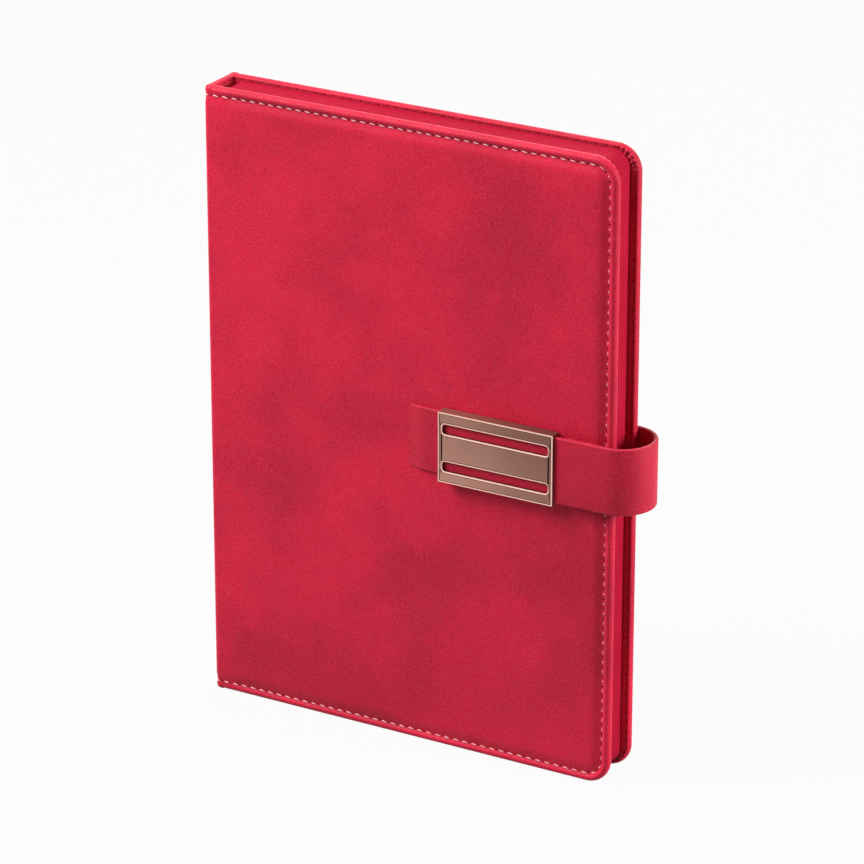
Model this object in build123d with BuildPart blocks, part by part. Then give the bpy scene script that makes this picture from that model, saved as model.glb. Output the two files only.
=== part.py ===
"""Padded A5 diary standing on its tail, closed by a leather strap with a metal clasp.

X runs from the spine to the fore-edge, Y from the front cover to the back cover, Z up.
The origin is under the middle of the whole object, on the surface that it stands on.
"""

from build123d import *
import math
import os

# Cover case
cover_width = 150.0
cover_height = 213.0
cover_corner_radius = 8.5
leather_thickness = 0.7
foam_thickness = 0.6
board_thickness = 1.3
lining_thickness = 0.4
turn_in_width = 14.0
outer_roll_radius = 1.2
inner_roll_radius = 0.6
stitch_inset = 3.0
stitch_channel_width = 0.9
stitch_channel_depth = 0.25
tray_clearance = 0.1

# Spine
spine_board_thickness = 1.2
spine_setback = 0.4
spine_corner_radius = 1.0
hinge_gap = 0.3

# Page block
sections_each_half = 3
section_thickness = 1.6
flyleaf_thickness = 0.25
leaf_gap = 0.1
cover_gap = 0.15
head_square = 1.5
fore_edge_square = 3.1
page_corner_radius = 6.0
spine_hollow = 3.5
mull_thickness = 0.4
mull_inset = 13.5
mull_gap = 0.1

# Strap
strap_width = 22.4
strap_thickness = 1.5
strap_height = 108.0
strap_slit_from_fore_edge = 38.0
loop_reach = 10.4
tongue_length = 11.0
slit_run = 2.0
slit_clearance = 0.1
ramp_length = 5.0
strap_fold_gap = 0.1

# Tab on the front cover
tab_side_clearance = 0.4
tab_thickness = 1.2
tab_lead = 13.8
tab_end_inset = 5.3
tab_end_radius = 4.0
keeper_length = 30.0
keeper_width = 14.0
keeper_thickness = 0.5

# Clasp
clasp_from_fore_edge = 19.2
clasp_length = 41.5
clasp_face_thickness = 1.1
clasp_flange_thickness = 0.7
clasp_flange_clearance = 0.1
clasp_flange_lift = 0.5
clasp_edge_chamfer = 0.35
slot_length = 38.4
slot_width = 3.4
slot_spacing = 12.8
slot_corner_radius = 0.9
slot_chamfer = 0.4
backplate_thickness = 0.6
backplate_inset = 0.8
clasp_seat_gap = 0.1
magnet_length = 28.0
magnet_width = 7.0
magnet_clearance = 0.1
pin_diameter = 1.6
pin_spacing_x = 36.0
pin_spacing_z = 5.0
pin_depth_in_face = 0.6
pin_clearance = 0.05

# Sizes that follow from the ones above
cover_thickness = 2 * leather_thickness + foam_thickness + board_thickness
spine_thickness = 2 * leather_thickness + spine_board_thickness
page_width = cover_width - spine_thickness - spine_hollow - fore_edge_square
page_height = cover_height - 2 * head_square
half_sections = sections_each_half * section_thickness + (sections_each_half - 1) * leaf_gap
half_block = cover_gap + flyleaf_thickness + leaf_gap + half_sections
body_thickness = 2 * cover_thickness + 2 * half_block + leaf_gap
strap_standoff = tab_thickness + clasp_seat_gap + backplate_thickness
clasp_height = strap_standoff + strap_thickness + clasp_face_thickness
tab_width = strap_width - 2 * tab_side_clearance
clasp_width = strap_width + 2 * clasp_flange_clearance + 2 * clasp_flange_thickness

# Reference places
spine_face = -(cover_width + loop_reach) / 2
front_face = -(body_thickness + strap_thickness - clasp_height) / 2
back_face = front_face + body_thickness
fore_edge = spine_face + cover_width
mid_height = cover_height / 2
cover_start = spine_thickness + hinge_gap
fold_line = spine_face + spine_thickness + spine_hollow
strap_low = strap_height - strap_width / 2
tab_low = strap_height - tab_width / 2
clasp_end = fore_edge - clasp_from_fore_edge
clasp_start = clasp_end - clasp_length
clasp_middle = (clasp_start + clasp_end) / 2
tab_slit_start = clasp_start - tab_lead
strap_slit_start = fore_edge - strap_slit_from_fore_edge
strap_inner_front = front_face - strap_standoff
strap_outer_front = strap_inner_front - strap_thickness
strap_outer_back = back_face + strap_thickness
loop_radius = (strap_outer_back - strap_outer_front) / 2
loop_x = fore_edge + loop_reach - loop_radius
loop_y = (strap_outer_back + strap_outer_front) / 2

# Each cover is drawn on its outer face: x from the spine, y from mid height, depth inwards
front_plane = Plane(origin=(spine_face, front_face, mid_height), x_dir=(1, 0, 0), z_dir=(0, -1, 0))
back_plane = Plane(origin=(spine_face, back_face, mid_height), x_dir=(1, 0, 0), z_dir=(0, 1, 0))

os.makedirs("parts", exist_ok=True)


def finish(part, name):
    """Name a finished piece and write it to its own file."""
    part.label = name
    export_step(part, f"parts/{name}.step")


def cover_outline(plane, inset, start):
    """Cover shape, square at the spine and rounded at the fore-edge, drawn in by an inset."""
    reach = cover_width - inset
    half = cover_height / 2 - inset
    radius = cover_corner_radius - inset
    with BuildSketch(plane) as sketch:
        with BuildLine():
            FilletPolyline((start, -half), (reach, -half), (reach, half), (start, half), radius=radius)
            Line((start, half), (start, -half))
        make_face()
    return sketch.sketch


def lining_outline(plane, inset, start):
    """Rectangle between the turned-in edges, open to the spine."""
    reach = cover_width - turn_in_width - inset
    height = cover_height - 2 * (turn_in_width + inset)
    with BuildSketch(plane) as sketch:
        with Locations(((start + reach) / 2, 0)):
            Rectangle(reach - start, height)
    return sketch.sketch


def stitch_channel(plane, start):
    """Sunk line of the seam along head, fore-edge and tail."""
    half = stitch_channel_width / 2
    with BuildPart() as channel:
        extrude(cover_outline(plane, stitch_inset - half, start), amount=-stitch_channel_depth)
        extrude(
            cover_outline(plane, stitch_inset + half, start - stitch_channel_width),
            amount=-stitch_channel_depth,
            mode=Mode.SUBTRACT,
        )
    return channel.part


def band_slit(start, low, width, near, far):
    """Cut through which a leather band goes, from one depth to another."""
    with BuildPart() as slit:
        with BuildSketch(Plane.XY.offset(low - slit_clearance)):
            with Locations((start + slit_run / 2, (near + far) / 2)):
                Rectangle(slit_run + 2 * slit_clearance, abs(far - near))
        extrude(amount=width + 2 * slit_clearance)
    return slit.part


def tongue_pocket(start, low, width, near, far):
    """Room in the padding for a band's glued end, under the leather."""
    end = start + slit_run + slit_clearance
    length = tongue_length + slit_run + 2 * slit_clearance
    with BuildPart() as pocket:
        with BuildSketch(Plane.XY.offset(low - slit_clearance)):
            with Locations((end - length / 2, (near + far) / 2)):
                Rectangle(length, abs(far - near))
        extrude(amount=width + 2 * slit_clearance)
    return pocket.part


def cover_leather(plane, start, slit):
    """Padded cover skin: a tray with rolled edges, turned in round the board on the inner side."""
    outward = Axis(plane.origin, plane.z_dir)
    wall = leather_thickness
    channel = stitch_channel(plane, start)
    inside = plane.offset(-wall)
    window = plane.offset(wall - cover_thickness)
    with BuildPart() as leather:
        extrude(cover_outline(plane, 0, start), amount=-cover_thickness)
        outer_edges = leather.faces().sort_by(outward)[-1].edges().sort_by(Axis.X)[1:]
        fillet(outer_edges, outer_roll_radius)
        inner_edges = leather.faces().sort_by(outward)[0].edges().sort_by(Axis.X)[1:]
        fillet(inner_edges, inner_roll_radius)
        extrude(
            cover_outline(inside, wall, start + wall),
            amount=2 * wall - cover_thickness,
            mode=Mode.SUBTRACT,
        )
        extrude(lining_outline(window, 0, start + wall), amount=-wall, mode=Mode.SUBTRACT)
        add(channel, mode=Mode.SUBTRACT)
        add(slit, mode=Mode.SUBTRACT)
    return leather.part


def cover_foam(plane, start, pocket):
    """Sheet of padding between the leather and the board."""
    inset = leather_thickness + tray_clearance
    with BuildPart() as foam:
        extrude(cover_outline(plane.offset(-leather_thickness), inset, start + inset), amount=-foam_thickness)
        add(pocket, mode=Mode.SUBTRACT)
    return foam.part


def cover_board(plane, start):
    """Grey board that stiffens the cover."""
    inset = leather_thickness + tray_clearance
    depth = leather_thickness + foam_thickness
    with BuildPart() as board:
        extrude(cover_outline(plane.offset(-depth), inset, start + inset), amount=-board_thickness)
    return board.part


def cover_lining(plane, start):
    """Paper pasted to the board between the turned-in edges."""
    depth = leather_thickness + foam_thickness + board_thickness
    inset = leather_thickness + tray_clearance
    with BuildPart() as lining:
        extrude(lining_outline(plane.offset(-depth), tray_clearance, start + inset), amount=-lining_thickness)
    return lining.part


def leaves(front, thickness):
    """Folded leaves: round at the fold, flat at the fore-edge, with rounded fore-edge corners."""
    radius = thickness / 2
    back = front + thickness
    fold = fold_line + radius
    edge = fold_line + page_width
    with BuildPart() as leaf_block:
        with BuildSketch(Plane.XY.offset(head_square)):
            with BuildLine():
                Polyline((fold, front), (edge, front), (edge, back), (fold, back))
                ThreePointArc((fold, back), (fold_line, front + radius), (fold, front))
            make_face()
        extrude(amount=page_height)
        fillet(leaf_block.edges().filter_by(Axis.Y).group_by(Axis.X)[-1], page_corner_radius)
    return leaf_block.part


def mull(front, back):
    """Strip of gauze behind the folds."""
    with BuildPart() as strip:
        with BuildSketch(Plane.XY.offset(head_square + mull_inset)):
            with Locations((fold_line - mull_gap - mull_thickness / 2, (front + back) / 2)):
                Rectangle(mull_thickness, back - front)
        extrude(amount=page_height - 2 * mull_inset)
    return strip.part


# Front cover
tab_slit = band_slit(tab_slit_start, tab_low, tab_width, front_face, front_face + leather_thickness)
tab_pocket = tongue_pocket(
    tab_slit_start,
    tab_low,
    tab_width,
    front_face + leather_thickness,
    front_face + leather_thickness + foam_thickness,
)
finish(cover_leather(front_plane, cover_start, tab_slit), "front_leather")
finish(cover_foam(front_plane, cover_start, tab_pocket), "front_foam")
finish(cover_board(front_plane, cover_start), "front_board")
finish(cover_lining(front_plane, cover_start), "front_lining")

# Back cover, which starts at the spine's inner face
strap_slit = band_slit(strap_slit_start, strap_low, strap_width, back_face, back_face - leather_thickness)
strap_pocket = tongue_pocket(
    strap_slit_start,
    strap_low,
    strap_width,
    back_face - leather_thickness,
    back_face - leather_thickness - foam_thickness,
)
finish(cover_leather(back_plane, spine_thickness, strap_slit), "back_leather")
finish(cover_foam(back_plane, spine_thickness, strap_pocket), "back_foam")
finish(cover_board(back_plane, spine_thickness), "back_board")
finish(cover_lining(back_plane, spine_thickness), "back_lining")

# Spine: leather over a board, turned in at head and tail, lined inside
spine_front = front_face + spine_setback
spine_depth = back_face - spine_front
spine_middle = (back_face + spine_front) / 2
spine_plane = Plane(origin=(spine_face, spine_middle, mid_height), x_dir=(0, 1, 0), z_dir=(1, 0, 0))
spine_room = spine_depth - 2 * leather_thickness
spine_room_height = cover_height - 2 * leather_thickness
lining_room_height = cover_height - 2 * turn_in_width
spine_lining_plane = spine_plane.offset(leather_thickness + spine_board_thickness)

with BuildPart() as spine_leather:
    with BuildSketch(spine_plane):
        Rectangle(spine_depth, cover_height)
    extrude(amount=spine_thickness)
    outer_corners = spine_leather.faces().sort_by(Axis.X)[0].edges()
    fillet(outer_corners, spine_corner_radius)
    with BuildSketch(spine_plane.offset(leather_thickness)):
        Rectangle(spine_room, spine_room_height)
    extrude(amount=spine_board_thickness, mode=Mode.SUBTRACT)
    with BuildSketch(spine_lining_plane):
        Rectangle(spine_room, lining_room_height)
    extrude(amount=leather_thickness, mode=Mode.SUBTRACT)
finish(spine_leather.part, "spine_leather")

with BuildPart() as spine_board:
    with BuildSketch(spine_plane.offset(leather_thickness)):
        Rectangle(spine_room - 2 * tray_clearance, spine_room_height - 2 * tray_clearance)
    extrude(amount=spine_board_thickness)
finish(spine_board.part, "spine_board")

with BuildPart() as spine_lining:
    with BuildSketch(spine_lining_plane):
        Rectangle(spine_room - 2 * tray_clearance, lining_room_height - 2 * tray_clearance)
    extrude(amount=lining_thickness)
finish(spine_lining.part, "spine_lining")

# Page block: two flyleaves round the sewn sections, which part in the middle of the book
front_flyleaf = front_face + cover_thickness + cover_gap
first_section = front_flyleaf + flyleaf_thickness + leaf_gap
section_pitch = section_thickness + leaf_gap
back_flyleaf = back_face - cover_thickness - cover_gap - flyleaf_thickness
finish(leaves(front_flyleaf, flyleaf_thickness), "front_flyleaf")
for index in range(2 * sections_each_half):
    finish(leaves(first_section + index * section_pitch, section_thickness), f"section_{index + 1}")
finish(leaves(back_flyleaf, flyleaf_thickness), "back_flyleaf")

# Gauze on the folds. The front strip stops short of the parting, so that the front half can turn
parting = first_section + half_sections
mull_room = section_thickness / 2
finish(mull(first_section, parting - mull_room), "front_mull")
finish(mull(parting + leaf_gap + mull_room, back_flyleaf - leaf_gap), "rear_mull")

# Clasp tab: comes up through its slit, thins out at its root and runs under the clasp
tab_slit_end = tab_slit_start + slit_run
tab_end = clasp_end - tab_end_inset
tab_top = front_face - tab_thickness
tab_under_leather = front_face + leather_thickness
tab_on_board = tab_under_leather + foam_thickness
keeper_plane = Plane(origin=(clasp_middle, front_face, strap_height), x_dir=(1, 0, 0), z_dir=(0, -1, 0))

with BuildPart() as clasp_tab:
    with BuildSketch(Plane.XY.offset(tab_low)):
        with BuildLine():
            Polyline(
                (tab_slit_start - tongue_length, tab_under_leather),
                (tab_slit_start, tab_under_leather),
                (tab_slit_start, front_face),
                (tab_slit_start + ramp_length, tab_top),
                (tab_end, tab_top),
                (tab_end, front_face),
                (tab_slit_end, front_face),
                (tab_slit_end, tab_on_board),
                (tab_slit_start - tongue_length, tab_on_board),
                close=True,
            )
        make_face()
    extrude(amount=tab_width)
    fillet(clasp_tab.edges().filter_by(Axis.Y).group_by(Axis.X)[-1], tab_end_radius)
    with BuildSketch(keeper_plane):
        Rectangle(keeper_length + 2 * tray_clearance, keeper_width + 2 * tray_clearance)
    extrude(amount=keeper_thickness, mode=Mode.SUBTRACT)
finish(clasp_tab.part, "clasp_tab")

with BuildPart() as tab_keeper:
    with BuildSketch(keeper_plane):
        Rectangle(keeper_length, keeper_width)
    extrude(amount=keeper_thickness)
finish(tab_keeper.part, "tab_keeper")

# Strap root: glued under the back leather, out through its slit and round half of the back bend
quarter = math.degrees(math.pi / 2)
bend_half = quarter / 2
inner_radius = loop_radius - strap_thickness
fold_turn = math.degrees(strap_fold_gap / loop_radius)
strap_slit_end = strap_slit_start + slit_run
strap_under_leather = back_face - leather_thickness
strap_on_board = strap_under_leather - foam_thickness

with BuildPart() as strap_root:
    with BuildSketch(Plane.XY.offset(strap_low)):
        with BuildLine():
            outer_bend = CenterArc((loop_x, loop_y), loop_radius, quarter, -bend_half)
            inner_bend = CenterArc((loop_x, loop_y), inner_radius, quarter, -bend_half)
            Line(outer_bend @ 1, inner_bend @ 1)
            Polyline(
                inner_bend @ 0,
                (strap_slit_end, back_face),
                (strap_slit_end, strap_on_board),
                (strap_slit_start - tongue_length, strap_on_board),
                (strap_slit_start - tongue_length, strap_under_leather),
                (strap_slit_start, strap_under_leather),
                (strap_slit_start, back_face),
                (strap_slit_start + ramp_length, strap_outer_back),
                outer_bend @ 0,
            )
        make_face()
    extrude(amount=strap_width)
finish(strap_root.part, "strap_root")

# Strap side: the outer half of the loop, past the fore-edge
side_start = bend_half - fold_turn
side_turn = 2 * fold_turn - quarter

with BuildPart() as strap_side:
    with BuildSketch(Plane.XY.offset(strap_low)):
        with BuildLine():
            outer_side = CenterArc((loop_x, loop_y), loop_radius, side_start, side_turn)
            inner_side = CenterArc((loop_x, loop_y), inner_radius, side_start, side_turn)
            Line(outer_side @ 0, inner_side @ 0)
            Line(outer_side @ 1, inner_side @ 1)
        make_face()
    extrude(amount=strap_width)
finish(strap_side.part, "strap_side")

# Strap front: half of the front bend and the straight end that lies inside the clasp
strap_end = clasp_start + backplate_inset
clasp_plane = Plane(origin=(clasp_middle, strap_inner_front, strap_height), x_dir=(1, 0, 0), z_dir=(0, -1, 0))

with BuildPart() as strap_front:
    with BuildSketch(Plane.XY.offset(strap_low)):
        with BuildLine():
            outer_front = CenterArc((loop_x, loop_y), loop_radius, -bend_half, -bend_half)
            inner_front = CenterArc((loop_x, loop_y), inner_radius, -bend_half, -bend_half)
            Line(outer_front @ 0, inner_front @ 0)
            Polyline(
                outer_front @ 1,
                (strap_end, strap_outer_front),
                (strap_end, strap_inner_front),
                inner_front @ 1,
            )
        make_face()
    extrude(amount=strap_width)
    with BuildSketch(clasp_plane):
        Rectangle(magnet_length + 2 * magnet_clearance, magnet_width + 2 * magnet_clearance)
        with GridLocations(pin_spacing_x, pin_spacing_z, 2, 2):
            Circle(pin_diameter / 2 + pin_clearance)
    extrude(amount=strap_thickness, mode=Mode.SUBTRACT)
finish(strap_front.part, "strap_front")

# Clasp frame: a channel with a slotted face and a flange along its top and bottom
face_plane = clasp_plane.offset(strap_thickness)
flange_foot = front_face - clasp_flange_lift
flange_depth = clasp_height - clasp_flange_lift
channel_depth = flange_depth - clasp_face_thickness
frame_plane = Plane(origin=(clasp_middle, flange_foot, strap_height), x_dir=(1, 0, 0), z_dir=(0, -1, 0))

with BuildPart() as clasp_frame:
    with BuildSketch(frame_plane):
        Rectangle(clasp_length, clasp_width)
    extrude(amount=flange_depth)
    with BuildSketch(frame_plane):
        Rectangle(clasp_length, clasp_width - 2 * clasp_flange_thickness)
    extrude(amount=channel_depth, mode=Mode.SUBTRACT)
    rim = clasp_frame.faces().sort_by(Axis.Y)[0].edges()
    chamfer(rim, clasp_edge_chamfer)
    with BuildSketch(face_plane):
        with GridLocations(0, slot_spacing, 1, 2):
            RectangleRounded(slot_length, slot_width, slot_corner_radius)
    extrude(amount=clasp_face_thickness, mode=Mode.SUBTRACT)
    slot_rims = clasp_frame.faces().sort_by(Axis.Y)[0].inner_wires().edges()
    chamfer(slot_rims, slot_chamfer)
    with BuildSketch(face_plane):
        with GridLocations(pin_spacing_x, pin_spacing_z, 2, 2):
            Circle(pin_diameter / 2 + pin_clearance)
    extrude(amount=pin_depth_in_face, mode=Mode.SUBTRACT)
finish(clasp_frame.part, "clasp_frame")

# Clasp back plate, magnet and pins: the strap's end is held between the plate and the frame
with BuildPart() as clasp_backplate:
    with BuildSketch(clasp_plane):
        Rectangle(clasp_length - 2 * backplate_inset, strap_width)
        with GridLocations(pin_spacing_x, pin_spacing_z, 2, 2):
            Circle(pin_diameter / 2 + pin_clearance, mode=Mode.SUBTRACT)
    extrude(amount=-backplate_thickness)
finish(clasp_backplate.part, "clasp_backplate")

with BuildPart() as clasp_magnet:
    with BuildSketch(clasp_plane):
        Rectangle(magnet_length, magnet_width)
    extrude(amount=strap_thickness)
finish(clasp_magnet.part, "clasp_magnet")

with BuildPart() as clasp_pins:
    with BuildSketch(clasp_plane.offset(-backplate_thickness)):
        with GridLocations(pin_spacing_x, pin_spacing_z, 2, 2):
            Circle(pin_diameter / 2)
    extrude(amount=backplate_thickness + strap_thickness + pin_depth_in_face)
finish(clasp_pins.part, "clasp_pins")
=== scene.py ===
import math

import bmesh
import bpy
from mathutils import Matrix, Vector


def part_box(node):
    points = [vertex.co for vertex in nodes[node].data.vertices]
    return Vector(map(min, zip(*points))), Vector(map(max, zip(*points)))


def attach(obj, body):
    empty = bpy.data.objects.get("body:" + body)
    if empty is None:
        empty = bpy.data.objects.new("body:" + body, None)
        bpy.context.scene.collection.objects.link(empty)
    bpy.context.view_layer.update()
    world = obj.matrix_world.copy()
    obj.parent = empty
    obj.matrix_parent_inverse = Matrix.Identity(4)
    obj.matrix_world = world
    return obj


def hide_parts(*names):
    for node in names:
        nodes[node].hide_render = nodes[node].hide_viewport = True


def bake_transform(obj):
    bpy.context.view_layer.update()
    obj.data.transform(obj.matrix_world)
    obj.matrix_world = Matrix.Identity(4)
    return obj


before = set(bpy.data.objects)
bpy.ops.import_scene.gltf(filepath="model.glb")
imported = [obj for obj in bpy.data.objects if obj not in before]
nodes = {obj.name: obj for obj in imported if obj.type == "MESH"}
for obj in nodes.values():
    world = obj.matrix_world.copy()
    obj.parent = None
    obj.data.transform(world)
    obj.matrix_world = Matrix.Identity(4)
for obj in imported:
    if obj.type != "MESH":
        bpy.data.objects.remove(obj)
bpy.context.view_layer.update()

# Cover and spine boards: grey board cut to size, the stiff core of the case.
# The leather hides them, so they keep the dull flecked face of unbleached pulp.
mm = 0.001
board_grey = (0.30, 0.29, 0.27, 1)
board_fleck = (0.17, 0.165, 0.155, 1)
pulp_size = 0.6 * mm
pulp_relief = 0.05 * mm


class Wire:
    """A shader socket that can stand in a sum: each sign adds the Math node for it."""

    def __init__(self, tree, socket=None):
        self.tree = tree
        self.socket = socket

    def node(self, kind, settings, sockets, output=0):
        made = self.tree.nodes.new("ShaderNode" + kind)
        for key, value in settings.items():
            setattr(made, key, value)
        for key, value in sockets.items():
            if isinstance(value, Wire):
                self.tree.links.new(value.socket, made.inputs[key])
            else:
                made.inputs[key].default_value = value
        return Wire(self.tree, made.outputs[output] if made.outputs else None)

    def math(self, operation, *values):
        return self.node("Math", {"operation": operation}, dict(enumerate(values)))

    def __add__(self, other):
        return self.math("ADD", self, other)

    def __sub__(self, other):
        return self.math("SUBTRACT", self, other)

    def __rsub__(self, other):
        return self.math("SUBTRACT", other, self)

    def __mul__(self, other):
        return self.math("MULTIPLY", self, other)

    __radd__ = __add__
    __rmul__ = __mul__

    def at_least(self, other):
        return self.math("MAXIMUM", self, other)

    def axis(self, letter):
        return self.node("SeparateXYZ", {}, {"Vector": self}, letter)

    def step(self, low, high):
        return self.node("MapRange", {"interpolation_type": "SMOOTHSTEP"}, {0: self, 1: low, 2: high})

    def tint(self, none, full):
        return self.node("Mix", {"data_type": "RGBA"}, {0: self, 6: none, 7: full}, 2)

    def grain(self, size, detail=2.0, roughness=0.5):
        sockets = {"Vector": self, "Scale": 1 / size, "Detail": detail, "Roughness": roughness}
        return self.node("TexNoise", {}, sockets)

    def stretch(self, x, y, z):
        return self.node("Mapping", {}, {"Vector": self, "Scale": (x, y, z)})

    def relief(self, distance, strength=1.0):
        return self.node("Bump", {}, {"Height": self, "Distance": distance, "Strength": strength})

    def finish(self, **sockets):
        named = {key.replace("_", " "): value for key, value in sockets.items()}
        shader = self.node("BsdfPrincipled", {}, named)
        self.node("OutputMaterial", {}, {"Surface": shader})


def new_finish(name):
    """An empty material, the wire that its nodes hang on, and its place on the piece."""
    material = bpy.data.materials.new(name)
    material.use_nodes = True
    material.node_tree.nodes.clear()
    wire = Wire(material.node_tree)
    return material, wire, wire.node("TexCoord", {}, {}, "Object")


def give(material, *names):
    """Puts a finish on pieces that keep their CAD shape."""
    for name in names:
        nodes[name].data.materials.clear()
        nodes[name].data.materials.append(material)


grey_board, wire, place = new_finish("grey_board")
pulp = place.grain(pulp_size, 4.0)
wire.finish(
    Base_Color=pulp.step(0.42, 0.62).tint(board_grey, board_fleck),
    Roughness=0.9,
    Normal=pulp.relief(pulp_relief),
)
give(grey_board, "front_board", "back_board", "spine_board")

# Front cover leather: soft imitation leather drawn over padding and board. The edge is rolled
# round the board, sewn through about 3 mm in, and turned in on the inner side, where it is
# gathered into small pleats at the rounded corners.
front_low, front_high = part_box("front_leather")
height = front_high.z
fore_edge = front_high.x
front_face = front_low.y
cover_thickness = front_high.y - front_low.y
corner_radius = 8.5 * mm
corner_steps = 44
rim_step = 0.56 * mm
roll_reach = 1.5 * mm
roll_crest = 0.08 * mm
roll_turns = 7
stitch_inset = 2.9 * mm
stitch_pitch = 3.4 * mm
seam_radius = corner_radius - stitch_inset
channel_depth = 0.85 * mm
spine_channel_depth = 0.3 * mm
channel_fade = 12 * mm
pad_reach = 8.0 * mm
pad_fullness = 2.4
turn_in = 14 * mm
turn_in_step = 0.7 * mm
lining_margin = 0.4 * mm
inner_roll = 0.9 * mm
inner_seam_inset = 1.35 * mm
inner_seam_depth = 0.2 * mm
inner_seam_fall = 0.45 * mm
hole_depth = 0.25 * mm
hole_spread = 0.42 * mm
pleat_count = 7
pleat_depth = 0.64 * mm
pleat_inset = 1.2 * mm
pleat_spread = 3.4 * mm
pleat_drift = 0.5
pleat_drift_rate = 7
outer_stops = (1.9, 2.25, 2.55, 2.9, 3.25, 3.7, 4.3, 5.1, 6.0, 7.0, 8.0)
inner_stops = (1.1, 1.35, 1.6, 2.0, 2.6, 3.4, 4.2, 5.2, 6.4, 7.6)
facing = 0.9
flat_least = (20 * mm) ** 2
crease = math.radians(38)
leather_deep = (0.41, 0.0028, 0.023, 1)
leather_pale = (0.74, 0.0095, 0.051, 1)
leather_speck = (0.85, 0.20, 0.28, 1)
# Painted shade: near black for the needle holes.
hole_shade = (0.07, 0.001, 0.004, 1)
nap_tint = (1.0, 0.62, 0.70, 1)
cloud_size = 42 * mm
smudge_size = 15 * mm
fleck_size = 0.8 * mm
speck_size = 0.6 * mm
speck_share = 0.075
pore_size = 0.3 * mm
nap_relief = 0.09 * mm


def bell(value, spread):
    return math.exp(-((value / spread) ** 2))


def ease(share):
    return (1 + math.cos(math.pi * min(share, 1))) / 2


def seam_lengths(start):
    """Lengths of the seam along the head, round one corner, and from the head's spine end to the tail's."""
    head = fore_edge - corner_radius - start
    corner = seam_radius * math.pi / 2
    return head, corner, 2 * head + 2 * corner + height - 2 * corner_radius


def seam_pitch(start):
    """The stitch pitch that divides the whole seam evenly."""
    total = seam_lengths(start)[-1]
    return total / round(total / stitch_pitch)


def seam_place(along, start):
    """Where a seam point lies, x and z, and its heading."""
    head, corner, total = seam_lengths(start)
    if along > total / 2:
        x, z, heading = seam_place(total - along, start)
        return x, height - z, -math.pi - heading
    turn = min(max((along - head) / seam_radius, 0), math.pi / 2)
    x = start + min(along, head) + seam_radius * math.sin(turn)
    z = height - corner_radius + seam_radius * math.cos(turn) - max(along - head - corner, 0)
    return x, z, -turn


def seam_along(x, z, start):
    """How far along the seam a point of the cover lies, and the turn of its corner from 0 to 1."""
    head, corner, total = seam_lengths(start)
    up = max(z, height - z) - (height - corner_radius)
    out = x - (fore_edge - corner_radius)
    if up > 0 and out > 0:
        turn = math.atan2(out, up) / (math.pi / 2)
        along = head + turn * corner
    elif up > out:
        turn = 0
        along = x - start
    else:
        turn = 1
        along = head + corner - up
    if z < height / 2:
        along = total - along
    return along, turn


def channel(from_spine):
    """Depth of the seam's channel, which gets shallow towards the spine, where there is no padding."""
    return channel_depth + (spine_channel_depth - channel_depth) * ease(max(from_spine, 0) / channel_fade)


def outer_depth(inset, deepest):
    """How deep the outer skin lies under the cover's face, at a distance from its edge."""
    if inset < stitch_inset:
        rise = ease((stitch_inset - inset) / (stitch_inset - roll_reach))
        return roll_crest + (deepest - roll_crest) * rise
    return deepest * ease((inset - stitch_inset) / (pad_reach - stitch_inset)) ** pad_fullness


def ring_insets(reach, stops):
    """Distances from the edge at which the roll and then the flat of a sheet are divided."""
    turns = [reach * (1 - math.cos(math.pi / 2 * k / roll_turns)) for k in range(1, roll_turns + 1)]
    return turns + [stop * mm for stop in stops]


def whole(bm):
    return bm.verts[:] + bm.edges[:] + bm.faces[:]


def only(kind, parts):
    return [part for part in parts if isinstance(part, kind)]


def with_edges(faces):
    """Faces with their edges and corners, each once."""
    edges = [edge for face in faces for edge in face.edges]
    verts = [vert for face in faces for vert in face.verts]
    return list(dict.fromkeys(faces + edges + verts))


def round_off(bm, geom, radius, steps, affect="VERTICES"):
    """Rounds the corners of an outline, or edges, with arcs."""
    bmesh.ops.bevel(bm, geom=geom, offset=radius, segments=steps, profile=0.5, affect=affect, material=-1)


def sheet_rim(low_x, high_x):
    """The bare edge of a sheet with rounded corners, divided finely enough for its needle holes."""
    bm = bmesh.new()
    outline = ((low_x, 0), (high_x, 0), (high_x, height), (low_x, height))
    corners = [bm.verts.new((x, 0, z)) for x, z in outline]
    bm.faces.new(corners)
    round_off(bm, corners, corner_radius, corner_steps)
    bmesh.ops.delete(bm, geom=bm.faces[:], context="FACES_ONLY")
    for edge in bm.edges[:]:
        cuts = round(edge.calc_length() / rim_step) - 1
        if cuts > 0:
            bmesh.ops.subdivide_edges(bm, edges=[edge], cuts=cuts)
    return bm


def lay_rings(bm, outer):
    """Closes one side of a sheet's rim in rings: each one's distance from the edge, and its points."""
    border = [edge for edge in bm.edges if len(edge.link_faces) < 2]
    cap = bmesh.ops.contextual_create(bm, geom=border)["faces"][0]
    cap.normal_update()
    if (cap.normal.y < 0) != outer:
        cap.normal_flip()
    rings = []
    last = 0
    for inset in ring_insets(roll_reach, outer_stops) if outer else ring_insets(inner_roll, inner_stops):
        bmesh.ops.inset_individual(bm, faces=[cap], thickness=inset - last, use_even_offset=True)
        rings.append((inset, list(cap.verts)))
        last = inset
    return rings


def pleat(vert, turn, inset, swell):
    """Gathers a point of the turned-in edge into the pleats of a rounded corner."""
    fold = abs(math.sin(math.pi * pleat_count * turn + pleat_drift * math.sin(pleat_drift_rate * turn)))
    gather = math.sqrt(math.sin(math.pi * turn)) * bell(inset - pleat_inset, pleat_spread)
    sunk = pleat_depth * (1 - fold) * gather * swell
    centre_z = min(max(vert.co.z, corner_radius), height - corner_radius)
    inward = Vector((fore_edge - corner_radius - vert.co.x, 0, centre_z - vert.co.z)).normalized()
    vert.co += inward * sunk * swell * math.sqrt(1 - swell * swell)
    vert.co.y -= sunk


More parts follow.
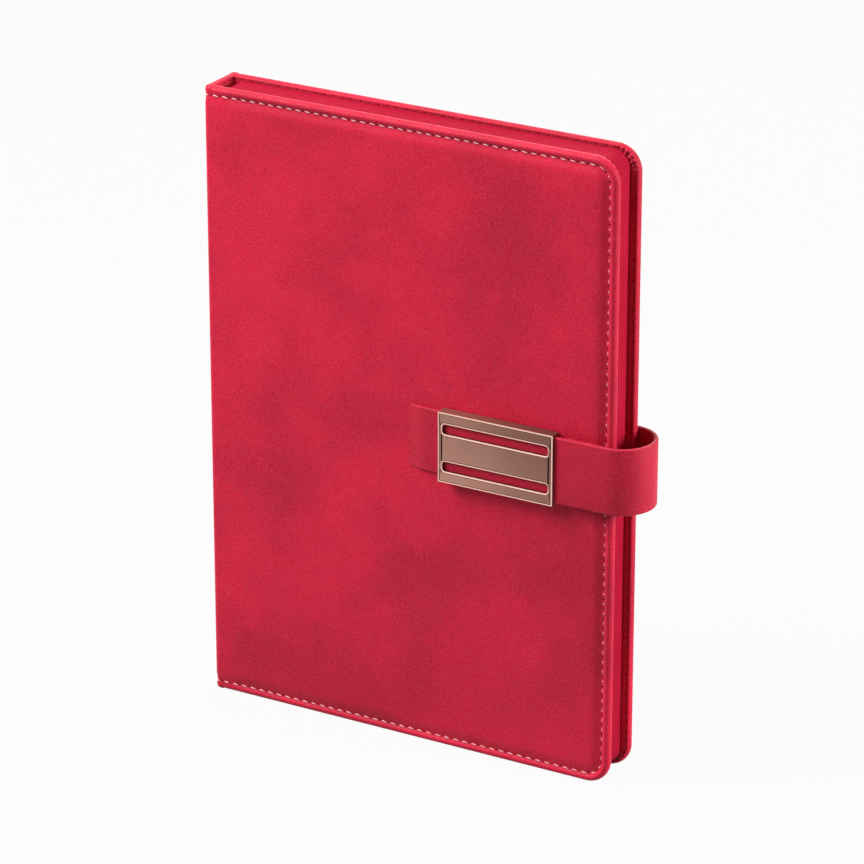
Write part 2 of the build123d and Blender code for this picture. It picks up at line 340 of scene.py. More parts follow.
def sink_window(bm, near, far, far_margin):
    """Sinks the inner side between the turned-in edges, where the lining lies."""
    flat = [face for face in bm.faces if face.normal.y > facing and face.calc_area() > flat_least]
    for co, normal in (
        ((0, 0, turn_in), (0, 0, 1)),
        ((0, 0, height - turn_in), (0, 0, 1)),
        ((near + lining_margin, 0, 0), (1, 0, 0)),
        ((far - far_margin, 0, 0), (1, 0, 0)),
    ):
        parts = bmesh.ops.bisect_plane(bm, geom=with_edges(flat), plane_co=co, plane_no=normal)["geom"]
        flat = only(bmesh.types.BMFace, parts)
    centre = Vector(((near + far) / 2, height / 2))
    window = min(flat, key=lambda face: (face.calc_center_median().xz - centre).length)
    moved = bmesh.ops.extrude_face_region(bm, geom=[window])["geom"]
    bmesh.ops.delete(bm, geom=[window], context="FACES_ONLY")
    bmesh.ops.translate(bm, verts=only(bmesh.types.BMVert, moved), vec=(0, -turn_in_step, 0))


def rolled_sheet(near, far, thickness, rounded, lined):
    """Leather rolled round a board, laid flat: x along it, y the depth from its outer face, z up.

    A cover's far side is rounded and sewn, and other sides are cut from a longer sheet. A lined sheet has a
    recess for its lining between the turned-in edges.
    """
    spare = 2 * pad_reach
    bm = sheet_rim(near - spare, far if rounded else far + spare)
    hole = bm.verts.layers.float.new("needle_hole")
    rim = bm.verts[:]
    pitch = seam_pitch(near) if rounded else (far - near) / round((far - near) / stitch_pitch)
    for outer in (True, False):
        seam_inset = stitch_inset if outer else inner_seam_inset
        for index, (inset, ring) in enumerate(lay_rings(bm, outer)):
            swell = math.sin(math.pi / 2 * min((index + 1) / roll_turns, 1))
            for vert in ring:
                along, turn = seam_along(vert.co.x, vert.co.z, near)
                from_hole = ((along / pitch + 0.5) % 1 - 0.5) * pitch
                prick = bell(from_hole, hole_spread) * bell(inset - seam_inset, hole_spread)
                vert[hole] = prick
                if outer:
                    skin = outer_depth(inset, channel(vert.co.x - near if rounded else 0))
                    vert.co.y = thickness / 2 + (skin - thickness / 2) * swell + hole_depth * prick
                else:
                    groove = inner_seam_depth * bell(inset - inner_seam_inset, inner_seam_fall)
                    vert.co.y = thickness / 2 * (1 + swell) - groove
                    if rounded and 0 < turn < 1:
                        pleat(vert, turn, inset, swell)
    for vert in rim:
        vert.co.y = thickness / 2
    for cut_x, side in ((near, -1),) if rounded else ((near, -1), (far, 1)):
        bmesh.ops.bisect_plane(
            bm,
            geom=whole(bm),
            plane_co=(cut_x, 0, 0),
            plane_no=(side, 0, 0),
            clear_outer=True,
        )
        bmesh.ops.contextual_create(bm, geom=[edge for edge in bm.edges if edge.is_boundary])
    if lined:
        sink_window(bm, near, far, turn_in if rounded else lining_margin)
    return bm


def make_piece(name, bm, *finishes):
    """Turns a finished bmesh into an object: smooth, but with its true edges left crisp."""
    bmesh.ops.recalc_face_normals(bm, faces=bm.faces[:])
    for face in bm.faces:
        face.smooth = True
    for edge in bm.edges:
        edge.smooth = len(edge.link_faces) == 2 and edge.calc_face_angle() < crease
    mesh = bpy.data.meshes.new(name)
    bm.to_mesh(mesh)
    bm.free()
    for finish in finishes:
        mesh.materials.append(finish)
    piece = bpy.data.objects.new(name, mesh)
    bpy.context.scene.collection.objects.link(piece)
    return piece


def leather_finish(name, deep, pale):
    """Soft imitation leather: cloudy two-tone colour with fine flecks and pale specks, a dull sheen, and
    painted shade in the needle holes.
    """
    material, wire, place = new_finish(name)
    cloud = place.grain(cloud_size, 3.0, 0.5).step(0.36, 0.64)
    smudge = place.grain(smudge_size, 4.0, 0.6).step(0.34, 0.66)
    fleck = place.grain(fleck_size, 3.0, 0.65).step(0.3, 0.7)
    speck = place.grain(speck_size, 2.0, 0.6).step(0.4, 0.68)
    pore = place.grain(pore_size, 1.0)
    pricked = wire.node("Attribute", {"attribute_name": "needle_hole"}, {}, "Fac")
    skin = (0.45 * cloud + 0.18 * smudge + 0.37 * fleck).tint(deep, pale)
    napped = (speck_share * speck).tint(skin, leather_speck)
    wire.finish(
        # Painted shade: the needle holes are painted near black.
        Base_Color=pricked.step(0.15, 0.8).tint(napped, hole_shade),
        Roughness=0.46 + 0.2 * fleck,
        Specular_IOR_Level=0.2,
        Sheen_Weight=0.15,
        Sheen_Roughness=0.4,
        Sheen_Tint=nap_tint,
        Normal=(0.6 * fleck + 0.4 * pore).relief(nap_relief, 0.8),
    )
    return material


cover_leather = leather_finish("cover_leather", leather_deep, leather_pale)
front = rolled_sheet(front_low.x, fore_edge, cover_thickness, True, True)
bmesh.ops.translate(front, verts=front.verts[:], vec=(0, front_face, 0))
front_cover = make_piece("front_cover_leather", front, cover_leather)
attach(front_cover, "front_cover")
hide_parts("front_leather")

# Back cover leather: cut, padded and sewn like the front, and mirrored, so that its turned-in
# edge with the gathered corners looks at the pages.
back_low, back_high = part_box("back_leather")
back_face = back_high.y
back = rolled_sheet(back_low.x, fore_edge, cover_thickness, True, True)
bmesh.ops.scale(back, verts=back.verts[:], vec=(1, -1, 1))
bmesh.ops.translate(back, verts=back.verts[:], vec=(0, back_face, 0))
back_cover = make_piece("back_cover_leather", back, cover_leather)
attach(back_cover, "back_case")
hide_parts("back_leather")

# Padding: a thin sheet of foam glued on each board, with its edges pressed down by the seam.
# It gives the covers their soft rise inside the stitching.
foam_colour = (0.74, 0.73, 0.69, 1)
foam_shade = (0.60, 0.59, 0.55, 1)
foam_press = 0.5 * mm
foam_flat = 3.6 * mm
foam_corner_steps = 10
foam_cell = 0.7 * mm
foam_relief = 0.1 * mm
foam, wire, place = new_finish("foam_sheet")
cells = place.grain(foam_cell, 3.0)
wire.finish(
    Base_Color=cells.tint(foam_shade, foam_colour),
    Roughness=0.95,
    Normal=cells.relief(foam_relief),
)
for name, node, body, outer_side in (
    ("front_padding", "front_foam", "front_cover", -1),
    ("back_padding", "back_foam", "back_case", 1),
):
    low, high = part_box(node)
    middle = (low + high) / 2
    sheet = bmesh.new()
    bmesh.ops.create_cube(sheet, size=1)
    bmesh.ops.scale(sheet, verts=sheet.verts[:], vec=high - low)
    bmesh.ops.translate(sheet, verts=sheet.verts[:], vec=middle)
    fore_edges = [edge for edge in sheet.edges if all(vert.co.x > 0 for vert in edge.verts)]
    corners = [edge for edge in fore_edges if edge.verts[0].co.z == edge.verts[1].co.z]
    round_off(sheet, corners, corner_radius - (fore_edge - high.x), foam_corner_steps, "EDGES")
    face = max(sheet.faces, key=lambda part: outer_side * part.calc_center_median().y)
    for width in (foam_flat, pad_reach - foam_flat):
        bmesh.ops.inset_individual(sheet, faces=[face], thickness=width, use_even_offset=True)
    outside = [vert for vert in sheet.verts if (vert.co.y - middle.y) * outer_side > 0]
    pressed = [vert for vert in outside if vert not in face.verts]
    bmesh.ops.translate(sheet, verts=pressed, vec=(0, -outer_side * foam_press, 0))
    padding = make_piece(name, sheet, foam)
    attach(padding, body)
    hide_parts(node)

# Spine and its two folds: the cover leather runs on round the flat spine board, and bends at the
# spine's corners with nothing but leather in the bend. The front bend is the cover's hinge.
spine_low, spine_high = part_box("spine_leather")
spine_face = spine_low.x
bend_radius = 1.8 * mm
bend_steps = 9
fold_thickness = 1.75 * mm
fold_thinning = 0.65 * mm
fold_thinning_run = 0.45 * mm
fold_start = spine_face + bend_radius
fold_run = bend_radius * math.pi / 2
spine_near = front_face + bend_radius
spine_far = back_face - bend_radius


def onto_spine(bm):
    """Stands flat leather, or the stitches in it, up against the spine."""
    for vert in bm.verts:
        vert.co = (spine_face + vert.co.y, vert.co.x, vert.co.z)


def fold_round(bm):
    """Bends flat leather, or the stitches in it, round the spine's front corner."""
    for vert in bm.verts:
        turn = max(fold_start - vert.co.x, 0) / bend_radius
        reach = bend_radius - vert.co.y
        x = max(vert.co.x, fold_start) - reach * math.sin(turn)
        vert.co = (x, front_face + bend_radius - reach * math.cos(turn), vert.co.z)


def to_rear(bm):
    """Turns a front strip into the rear one, on the other side of the spine."""
    bmesh.ops.scale(bm, verts=bm.verts[:], vec=(1, -1, 1))
    bmesh.ops.translate(bm, verts=bm.verts[:], vec=(0, front_face + back_face, 0))


def folded_strip(cover_start):
    """The bent leather between a cover and the spine: double at head and tail, where it is turned in."""
    bm = rolled_sheet(fold_start - fold_run, cover_start, fold_thickness, False, False)
    for vert in bm.verts:
        if vert.co.y > fold_thickness / 2:
            past_turn_in = max(min(vert.co.z, height - vert.co.z) - inner_roll, 0)
            vert.co.y -= fold_thinning * (1 - ease(past_turn_in / fold_thinning_run))
    for k in range(bend_steps):
        cut_x = fold_start - fold_run * k / bend_steps
        bmesh.ops.bisect_plane(bm, geom=whole(bm), plane_co=(cut_x, 0, 0), plane_no=(1, 0, 0))
    fold_round(bm)
    return bm


spine = rolled_sheet(spine_near, spine_far, spine_high.x - spine_face, False, True)
onto_spine(spine)
spine_cover = make_piece("spine_cover_leather", spine, cover_leather)
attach(spine_cover, "back_case")
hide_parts("spine_leather")

rear_strip = folded_strip(back_low.x)
to_rear(rear_strip)
rear_fold = make_piece("rear_fold_leather", rear_strip, cover_leather)
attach(rear_fold, "back_case")

front_fold = make_piece("front_fold_leather", folded_strip(front_low.x), cover_leather)
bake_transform(front_fold)

# Stitching: one lockstitch seam round the whole case. The upper thread is pale pink and shows on the
# outside, and the lower thread is dyed like the leather but painted darker, as painted shade, and shows
# on the turned-in edge. Along the fore-edge the thread is drawn tighter, and less of each stitch shows.
stitch_length = 2.0 * mm
tight_stitch_length = 1.15 * mm
stitch_width = 0.32 * mm
tight_stitch_width = 0.32 * mm
stitch_rise = 0.13 * mm
tight_stitch_dip = math.radians(13)
stitch_slant = math.radians(9)
stitch_sides = 8
stitch_rings = 6
upper_thread = (0.96, 0.70, 0.71, 1)
upper_thread_shade = (0.82, 0.50, 0.52, 1)
# Painted shade: the lower thread is painted darker than the leather.
lower_thread = (0.30, 0.006, 0.018, 1)
lower_thread_shade = (0.18, 0.003, 0.010, 1)
ply_size = 0.22 * mm
ply_relief = 0.05 * mm


def thread_finish(name, colour, shade):
    """Twisted thread: fine ridges across each stitch."""
    material, wire, place = new_finish(name)
    ply = place.grain(ply_size, 1.0)
    wire.finish(
        Base_Color=ply.step(0.3, 0.65).tint(shade, colour),
        Roughness=0.6,
        Specular_IOR_Level=0.3,
        Normal=ply.relief(ply_relief),
    )
    return material


def sew(bm, centre, heading, inward):
    """One stitch lying on a cover: a plump grain of thread with its ends in the leather.

    A tight stitch dips, so that its lower half is drawn into the leather. Inward is the way into the
    leather along y, or 0 for a thread that lies flat.
    """
    tight = abs(math.sin(heading))
    length = stitch_length + (tight_stitch_length - stitch_length) * tight
    width = stitch_width + (tight_stitch_width - stitch_width) * tight
    shape = Matrix.Diagonal((length / 2, width / 2, width / 2, 1))
    dip = Matrix.Rotation(inward * tight_stitch_dip * tight, 4, "Z")
    turn = Matrix.Rotation(-heading + stitch_slant, 4, "Y")
    place = Matrix.Translation(centre + Vector((0, inward * stitch_rise * tight, 0)))
    bmesh.ops.create_uvsphere(
        bm,
        u_segments=stitch_sides,
        v_segments=stitch_rings,
        radius=1,
        matrix=place @ turn @ dip @ shape,
    )


def straight_seam(first, last):
    """The stitches along the head and the tail of a flat strip, in the strip's own place."""
    seam = bmesh.new()
    count = round((last - first) / stitch_pitch)
    for k in range(count):
        x = first + (last - first) * (k + 0.5) / count
        for z in (stitch_inset, height - stitch_inset):
            sew(seam, Vector((x, spine_channel_depth - stitch_rise, z)), 0, 0)
    return seam


pale_thread = thread_finish("pale_thread", upper_thread, upper_thread_shade)
dyed_shaded_thread = thread_finish("dyed_shaded_thread", lower_thread, lower_thread_shade)
inner_level = inner_seam_depth - stitch_rise
front_inner = front_high.y - inner_level
back_inner = back_low.y + inner_level
for name, body, start, y, inward, inset, finish in (
    ("front_seam", "front_cover", front_low.x, front_face, 1, stitch_inset, pale_thread),
    ("front_inner_seam", "front_cover", front_low.x, front_inner, 0, inner_seam_inset, dyed_shaded_thread),
    ("back_seam", "back_case", back_low.x, back_face, -1, stitch_inset, pale_thread),
    ("back_inner_seam", "back_case", back_low.x, back_inner, 0, inner_seam_inset, dyed_shaded_thread),
):
    seam = bmesh.new()
    pitch = seam_pitch(start)
    outward = stitch_inset - inset
    for k in range(round(seam_lengths(start)[-1] / pitch)):
        x, z, heading = seam_place((k + 0.5) * pitch, start)
        x -= outward * math.sin(heading)
        z += outward * math.cos(heading)
        sew(seam, Vector((x, y + inward * (channel(x - start) - stitch_rise), z)), heading, inward)
    stitching = make_piece(name, seam, finish)
    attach(stitching, body)

spine_stitches = straight_seam(spine_near, spine_far)
onto_spine(spine_stitches)
rear_stitches = straight_seam(fold_start - fold_run, back_low.x)
fold_round(rear_stitches)
to_rear(rear_stitches)
for name, seam in (("spine_seam", spine_stitches), ("rear_fold_seam", rear_stitches)):
    stitching = make_piece(name, seam, pale_thread)
    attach(stitching, "back_case")
fold_stitches = straight_seam(fold_start - fold_run, front_low.x)
fold_round(fold_stitches)
fold_seam = make_piece("front_fold_seam", fold_stitches, pale_thread)
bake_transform(fold_seam)

# Linings: stout cream paper pasted on the boards between the turned-in edges.
# Each hides the board and the raw edge of the padding.
lining_cream = (0.74, 0.70, 0.61, 1)
lining_shade = (0.66, 0.61, 0.52, 1)
fibre_size = 1.1 * mm
fibre_draw = 0.4
fibre_relief = 0.02 * mm
lining_paper, wire, place = new_finish("lining_paper")
fibre = place.stretch(1, 1, fibre_draw).grain(fibre_size, 4.0)
wire.finish(
    Base_Color=fibre.step(0.35, 0.65).tint(lining_shade, lining_cream),
    Roughness=0.85,
    Normal=fibre.relief(fibre_relief),
)
give(lining_paper, "front_lining", "back_lining", "spine_lining")

# Pages: two flyleaves and six sewn sections of ruled cream leaves, trimmed together.
# The three cut edges are dyed red, and the leaves show in them as fine lines.
page_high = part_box("section_1")[1]
page_corner = 6.0 * mm
page_cream = (0.83, 0.79, 0.69, 1)
page_shade = (0.77, 0.72, 0.61, 1)
tooth_size = 0.8 * mm
rule_grey = (0.52, 0.52, 0.50, 1)
rule_pitch = 7.0 * mm
rule_width = 0.035
rule_margin = 16 * mm
dye_deep = (0.37, 0.0042, 0.025, 1)
dye_pale = (0.45, 0.0075, 0.036, 1)
dye_bleed = 0.8 * mm
dye_patch = 9 * mm
leaf_thickness = 0.11 * mm
leaf_bunch = 0.5 * mm
leaf_draw = 0.02
leaf_relief = 0.015 * mm


def page_finish(name, ruled):
    """Writing paper with dyed edges: the dye lies on the cut outline and bleeds a little way in."""
    material, wire, place = new_finish(name)
    up = place.axis("Z")
    past_x = place.axis("X") - (page_high.x - page_corner)
    past_z = up.math("ABSOLUTE", up - height / 2) - (page_high.z - height / 2 - page_corner)
    round_x = past_x.at_least(0)
    round_z = past_z.at_least(0)
    from_centre = past_x.math("SQRT", round_x * round_x + round_z * round_z)
    page = from_centre.step(page_corner - dye_bleed / 2, page_corner - dye_bleed)
    tooth = place.grain(tooth_size, 4.0)
    paper = tooth.step(0.3, 0.7).tint(page_shade, page_cream)
    if ruled:
        line = up.math("FRACT", up * (1 / rule_pitch))
        mark = line.math("LESS_THAN", line, rule_width)
        below_head = up.math("LESS_THAN", up, height - rule_margin)
        above_tail = up.math("GREATER_THAN", up, rule_margin)
        paper = (mark * below_head * above_tail).tint(paper, rule_grey)
    cut = place.stretch(leaf_draw, 1, leaf_draw)
    leaf = 0.5 * cut.grain(leaf_thickness, 2.0) + 0.5 * cut.grain(leaf_bunch, 2.0)
    patch = place.grain(dye_patch, 3.0)
    dye = (0.6 * leaf + 0.4 * patch).step(0.3, 0.7).tint(dye_deep, dye_pale)
    wire.finish(
        Base_Color=page.tint(dye, paper),
        Roughness=0.8 + 0.1 * page,
        Specular_IOR_Level=0.08,
        Normal=(leaf * (1 - page)).relief(leaf_relief),
    )
    return material


ruled_page = page_finish("ruled_page", True)
plain_page = page_finish("plain_page", False)
give(ruled_page, *(f"section_{k}" for k in range(1, 7)))
give(plain_page, "front_flyleaf", "back_flyleaf")

# Mull: strips of open gauze glued over the folds of the sections, inside the hollow spine.
# The thread net shows as a fine square weave.
gauze_thread = (0.80, 0.78, 0.72, 1)
gauze_gap = (0.45, 0.42, 0.36, 1)
gauze_pitch = 1.2 * mm
gauze_core = 0.12 * mm
gauze_edge = 0.3 * mm
gauze_relief = 0.1 * mm
gauze, wire, place = new_finish("gauze")
gaps = []
for axis in "YZ":
    run = place.axis(axis)
    gaps.append(run.math("PINGPONG", run, gauze_pitch / 2).step(gauze_core, gauze_edge))
gap = gaps[0] * gaps[1]
wire.finish(
    Base_Color=gap.tint(gauze_thread, gauze_gap),
    Roughness=0.9,
    Normal=(1 - gap).relief(gauze_relief),
)
give(gauze, "front_mull", "rear_mull")

# Strap: one band of folded leather. It comes up through a slit in the back cover, bends round the
# fore-edge in an open loop, and ends inside the clasp. It is modelled in two runs that meet at
# the loop's outermost line, so that each run bends at one of the two folds.
root_low, root_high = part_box("strap_root")
end_low, end_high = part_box("strap_front")
strap_thickness = 1.5 * mm
strap_edge = 0.5 * mm
strap_edge_steps = 4
strap_out_back = root_high.y
strap_out_front = end_low.y
loop_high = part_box("strap_side")[1]
loop_radius = (strap_out_back - strap_out_front) / 2
loop_middle = (strap_out_back + strap_out_front) / 2
loop_centre = Vector((loop_high.x - loop_radius, loop_middle, 0))
loop_steps = 30
band_step = 1.6 * mm
slit_start = fore_edge - 38 * mm
slit_run = 2 * mm
slit_sink = 1.25
ramp_length = 5.0 * mm
strap_deep = (0.36, 0.0028, 0.020, 1)
strap_pale = (0.58, 0.0070, 0.038, 1)
strap_leather = leather_finish("strap_leather", strap_deep, strap_pale)


def band(x_from, x_to, y_low, y_high, z_low, z_high):
    """A straight leather band with rounded edges, and its far end face."""
    bm = bmesh.new()
    outline = ((y_low, z_low), (y_high, z_low), (y_high, z_high), (y_low, z_high))
    corners = [bm.verts.new((x_from, y, z)) for y, z in outline]
    bm.faces.new(corners)
    round_off(bm, corners, strap_edge, strap_edge_steps)
    end = bm.faces[:]
    steps = math.ceil((x_to - x_from) / band_step)
    for step in range(steps):
        moved = bmesh.ops.extrude_face_region(bm, geom=end)["geom"]
        if step > 0:
            bmesh.ops.delete(bm, geom=end, context="FACES_ONLY")
        end = only(bmesh.types.BMFace, moved)
        verts = only(bmesh.types.BMVert, moved)
        bmesh.ops.translate(bm, verts=verts, vec=((x_to - x_from) / steps, 0, 0))
    return bm, end


def curl(bm, end, turn):
    """Carries a band's end face a quarter round the loop."""
    bmesh.ops.spin(
        bm,
        geom=with_edges(end),
        cent=loop_centre,
        axis=(0, 0, turn),
        angle=math.pi / 2,
        steps=loop_steps,
    )


def sink(bm, start, ramp, depth):
    """Draws the start of a band down into the slit that it comes out of."""
    for vert in bm.verts:
        vert.co.y -= depth * ease(max(vert.co.x - start, 0) / ramp)


back_band, end = band(
    slit_start - slit_run,
    loop_centre.x,
    strap_out_back - strap_thickness,
    strap_out_back,
    root_low.z,
    root_high.z,
)
curl(back_band, end, -1)
sink(back_band, slit_start, ramp_length, strap_thickness * slit_sink)
back_run = make_piece("strap_back_run", back_band, strap_leather)
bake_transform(back_run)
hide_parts("strap_root", "strap_side")

front_band, end = band(
    end_low.x,
    loop_centre.x,
    strap_out_front,
    strap_out_front + strap_thickness,
    end_low.z,
    end_high.z,
)
curl(front_band, end, 1)
front_run = make_piece("strap_front_run", front_band, strap_leather)
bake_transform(front_run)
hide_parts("strap_front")

# Clasp tab: a short leather tongue that comes up through a slit in the front cover and lies under
# the clasp. A steel keeper for the magnet is hidden in it.
tab_low, tab_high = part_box("clasp_tab")
tab_thickness = 1.2 * mm
tab_slit = fore_edge - 76.2 * mm
tab_sink = 1.2
tab_ramp = 9.0 * mm
tab_band, end = band(
    tab_slit - slit_run,
    tab_high.x,
    front_face - tab_thickness,
    front_face,
    tab_low.z,
    tab_high.z,
)
sink(tab_band, tab_slit, tab_ramp, -tab_thickness * tab_sink)
tab = make_piece("tab_band", tab_band, strap_leather)
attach(tab, "front_cover")
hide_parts("clasp_tab")

# Clasp: a plate of satin bronze, folded back along its top and bottom, with two long slots. Its
# edge and the slot rims are cut at a low slant and polished, with a fine groove cut beside them.
# The satin face is painted lighter towards the left and the bottom, a painted reflection, and the
# slot walls and the groove are painted near black, as painted shade.
# Pins hold the strap's end between the plate and a steel back plate.
clasp_low, clasp_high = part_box("clasp_frame")
clasp_middle = (clasp_low + clasp_high) / 2
clasp_size = clasp_high - clasp_low
plate_thickness = 1.1 * mm
flange_thickness = 0.7 * mm
slot_length = 38.4 * mm
slot_width = 3.4 * mm
slot_spacing = 12.8 * mm
slot_round = 1.1 * mm
round_steps = 6
rim_width = 0.42 * mm
rim_depth = 0.15 * mm
line_width = 0.12 * mm
line_depth = 0.12 * mm
slot_reach = (slot_length + rim_width) / 2
slots_reach = (slot_spacing + slot_width + rim_width) / 2
bronze_shade = (0.19, 0.085, 0.060, 1)
bronze_light = (0.47, 0.245, 0.185, 1)
bronze_cut = (0.95, 0.62, 0.51, 1)
bronze_cut_shade = (0.85, 0.50, 0.41, 1)
# Painted shade: near-black bronze for the slot walls and the fine groove beside the rims, with a random
# mottle.
groove_shade = (0.06, 0.026, 0.02, 1)
groove_shade_pale = (0.11, 0.05, 0.04, 1)
brush_size = 0.12 * mm
brush_draw = 0.03
brush_relief = 0.01 * mm
patina_size = 16 * mm
scuff_size = 0.9 * mm
shade_mottle_size = 0.7 * mm

satin_bronze, wire, place = new_finish("satin_bronze")
brushed = place.stretch(brush_draw, 1, 1).grain(brush_size, 2.0)
patina = place.grain(patina_size, 2.0)
# Painted reflection: the satin face is painted lighter towards the left and the bottom of the clasp.
painted_light_left = place.axis("X").step(clasp_high.x, clasp_low.x)
painted_light_below = place.axis("Z").step(clasp_high.z, clasp_low.z)
painted_light = 0.55 * painted_light_left + 0.3 * painted_light_below
wire.finish(
    Base_Color=(painted_light + 0.3 * patina - 0.1).tint(bronze_shade, bronze_light),
    Metallic=0.75,
    Roughness=0.36 + 0.08 * brushed,
    Normal=brushed.relief(brush_relief, 0.5),
)
polished_bronze, wire, place = new_finish("polished_bronze")
scuff = place.grain(scuff_size, 3.0)
wire.finish(
    Base_Color=scuff.step(0.35, 0.65).tint(bronze_cut, bronze_cut_shade),
    Metallic=1.0,
    Roughness=0.25 + 0.1 * scuff,
)
# Painted shade: the slot walls and the fine groove are painted near black.
painted_shade_bronze, wire, place = new_finish("painted_shade_bronze")
shade_mottle = place.grain(shade_mottle_size, 3.0)
wire.finish(
    Base_Color=shade_mottle.tint(groove_shade, groove_shade_pale),
    Metallic=1.0,
    Roughness=0.5 + 0.2 * shade_mottle,
)
satin, polished, painted_shade = range(3)


def oblong_border(bm, z, width, tall, rounding):
    """The bare edge of an oblong, on the back of the clasp's plate."""
    y = clasp_low.y + plate_thickness
    signs = ((-1, -1), (1, -1), (1, 1), (-1, 1))
    places = [(clasp_middle.x + a * width / 2, y, z + b * tall / 2) for a, b in signs]
    corners = [bm.verts.new(place) for place in places]
    bm.faces.new(corners)
    if rounding > 0:
        round_off(bm, corners, rounding, round_steps)
    bmesh.ops.delete(bm, geom=bm.faces[:], context="FACES_ONLY")


def lift(bm, faces, y):
    """Extrudes faces along Y, and gives the faces that end it."""
    moved = bmesh.ops.extrude_face_region(bm, geom=faces)["geom"]
    bmesh.ops.translate(bm, verts=only(bmesh.types.BMVert, moved), vec=(0, y, 0))
    return only(bmesh.types.BMFace, moved)


plate = bmesh.new()
oblong_border(plate, clasp_middle.z, clasp_size.x, clasp_size.z, 0)
for side in (-1, 1):
    oblong_border(plate, clasp_middle.z + side * slot_spacing / 2, slot_length, slot_width, slot_round)
bmesh.ops.triangle_fill(plate, edges=plate.edges[:], use_beauty=True, normal=(0, -1, 0))
face = lift(plate, plate.faces[:], rim_depth - plate_thickness)
# The slot walls get the painted shade.
for part in plate.faces:
    from_middle = part.calc_center_median() - clasp_middle
    if len(part.verts) == 4 and abs(from_middle.x) < slot_reach:
        part.material_index = painted_shade if abs(from_middle.z) < slots_reach else satin
# The rim is polished, and the groove's two rings get the painted shade.
for width, rise, finish in (
    (rim_width, rim_depth, polished),
    (line_width, -line_depth, painted_shade),
    (line_width, line_depth, painted_shade),
):
    plate.normal_update()
    ring = bmesh.ops.inset_region(
        plate,
        faces=face,
        thickness=width,
        use_boundary=True,
        use_even_offset=True,
    )
    for part in ring["faces"]:
        part.material_index = finish
    inside = list({vert for part in face for vert in part.verts})
    bmesh.ops.translate(plate, verts=inside, vec=(0, -rise, 0))
for z in (clasp_low.z + flange_thickness, clasp_high.z - flange_thickness):
    bmesh.ops.bisect_plane(plate, geom=whole(plate), plane_co=(0, 0, z), plane_no=(0, 0, 1))
bmesh.ops.recalc_face_normals(plate, faces=plate.faces[:])
flange_start = clasp_size.z / 2 - flange_thickness
strips = [part for part in plate.faces if part.normal.y > facing]
strips = [part for part in strips if abs(part.calc_center_median().z - clasp_middle.z) > flange_start]
lift(plate, strips, clasp_size.y - plate_thickness)
bmesh.ops.delete(plate, geom=strips, context="FACES")
clasp = make_piece("clasp_plate", plate, satin_bronze, polished_bronze, painted_shade_bronze)
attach(clasp, "strap_front")
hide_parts("clasp_frame")

# Clasp back plate, pins and keeper: plain rolled steel. The back plate and four short pins hold the
# strap's end in the clasp, and the keeper is a thin strip inside the tab.
steel_grey = (0.55, 0.55, 0.54, 1)
steel_shade = (0.42, 0.42, 0.42, 1)
rolling_size = 0.3 * mm
rolling_draw = 0.05
steel, wire, place = new_finish("plain_steel")
rolled = place.stretch(rolling_draw, 1, 1).grain(rolling_size, 2.0)
wire.finish(
    Base_Color=rolled.tint(steel_shade, steel_grey),
    Metallic=1.0,
    Roughness=0.32 + 0.15 * rolled,
)
give(steel, "clasp_backplate", "clasp_pins", "tab_keeper")

# Clasp magnet: a flat bar of dark sintered ferrite inside the clasp.
# It pulls on the keeper in the tab and holds the strap shut.
magnet_grey = (0.10, 0.10, 0.11, 1)
magnet_fleck = (0.17, 0.17, 0.18, 1)
sinter_size = 0.4 * mm
sinter_relief = 0.03 * mm
ferrite, wire, place = new_finish("magnet_ferrite")
sinter = place.grain(sinter_size, 3.0)
wire.finish(
    Base_Color=sinter.tint(magnet_grey, magnet_fleck),
    Roughness=0.7,
    Normal=sinter.relief(sinter_relief),
)
give(ferrite, "clasp_magnet")

# Studio: a white floor that keeps a faint shadow, white surroundings, soft lamps from the upper
# left, above, the right and behind, and a long lens a little above the diary.
floor_size = 4.0
floor_white = (0.32, 0.32, 0.32, 1)
floor_glow = 0.95
white = (1, 1, 1, 1)
ambient = 0.06
camera_aim = Vector((0.2, 0.0, 107.0)) * mm
camera_azimuth = math.radians(29.97)
camera_elevation = math.radians(22.28)
camera_distance = 1.442
camera_lens = 186.7
camera_sensor = 36.0


def seen_rays(wire):
    """1 on rays that show the surroundings, straight or reflected, and 0 on rays that light the object."""
    kinds = ("Camera", "Glossy", "Transmission")
    rays = [wire.node("LightPath", {}, {}, f"Is {kind} Ray") for kind in kinds]
    return rays[0].at_least(rays[1]).at_least(rays[2])


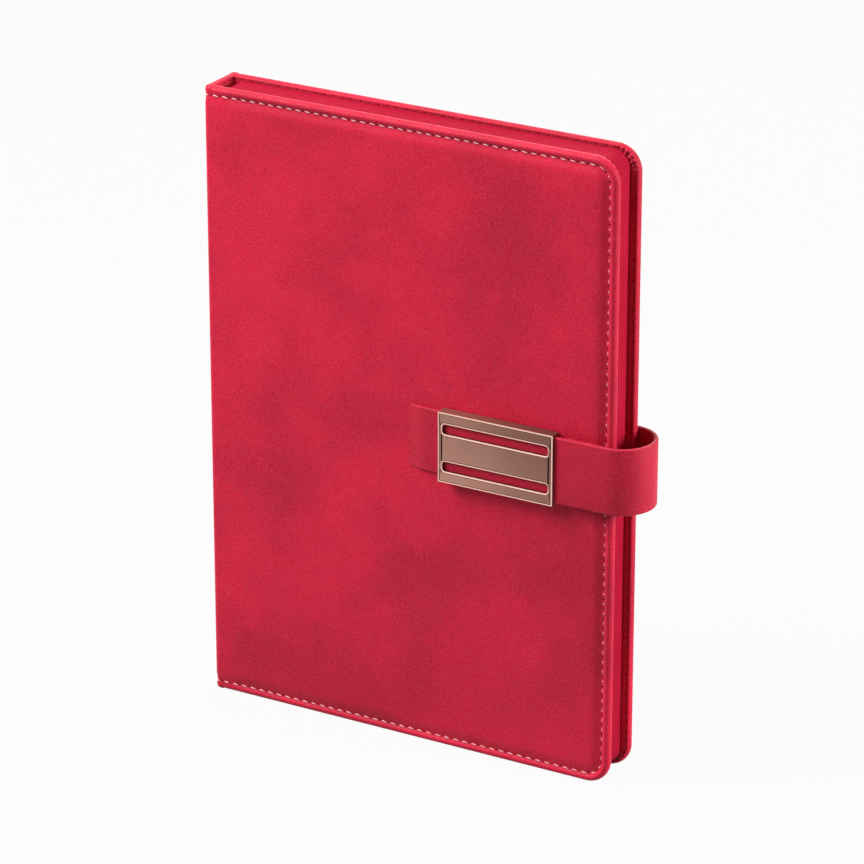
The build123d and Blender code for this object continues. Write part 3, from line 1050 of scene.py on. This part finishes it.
ground = bmesh.new()
bmesh.ops.create_grid(ground, x_segments=1, y_segments=1, size=floor_size / 2)
floor_finish, wire, place = new_finish("studio_floor")
matte = wire.node("BsdfDiffuse", {}, {"Color": floor_white})
glow = wire.node("Emission", {}, {"Color": white, "Strength": 1.0})
mixed = wire.node("MixShader", {}, {0: seen_rays(wire) * floor_glow, 1: matte, 2: glow})
wire.node("OutputMaterial", {}, {"Surface": mixed})
floor = make_piece("floor", ground, floor_finish)

world = bpy.data.worlds.new("studio")
bpy.context.scene.world = world
world.use_nodes = True
world.node_tree.nodes.clear()
wire = Wire(world.node_tree)
brightness = seen_rays(wire) * (1 - ambient) + ambient
sky = wire.node("Background", {}, {"Color": white, "Strength": brightness})
wire.node("OutputWorld", {}, {"Surface": sky})

for name, spot, size, power in (
    ("key_lamp", (-0.80, -0.62, 0.95), 0.60, 19.5),
    ("top_lamp", (-0.22, -0.20, 0.85), 0.40, 3.4),
    ("right_lamp", (0.85, 0.20, 0.35), 0.35, 9.2),
    ("back_lamp", (-0.20, 0.90, 0.60), 0.50, 3.2),
):
    lamp = bpy.data.lights.new(name, "AREA")
    lamp.shape = "SQUARE"
    lamp.size = size
    lamp.energy = power
    holder = bpy.data.objects.new(name, lamp)
    holder.location = spot
    holder.rotation_euler = (camera_aim - Vector(spot)).to_track_quat("-Z", "Y").to_euler()
    bpy.context.scene.collection.objects.link(holder)

camera = bpy.data.cameras.new("camera")
camera.lens = camera_lens
camera.sensor_width = camera_sensor
camera.clip_start = 0.05
camera.clip_end = 20.0
viewer = bpy.data.objects.new("camera", camera)
back_way = Vector((
    math.sin(camera_azimuth) * math.cos(camera_elevation),
    -math.cos(camera_azimuth) * math.cos(camera_elevation),
    math.sin(camera_elevation),
))
viewer.location = camera_aim + back_way * camera_distance
viewer.rotation_euler = (-back_way).to_track_quat("-Z", "Y").to_euler()
bpy.context.scene.collection.objects.link(viewer)
bpy.context.scene.camera = viewer
bpy.context.scene.view_settings.view_transform = "Standard"
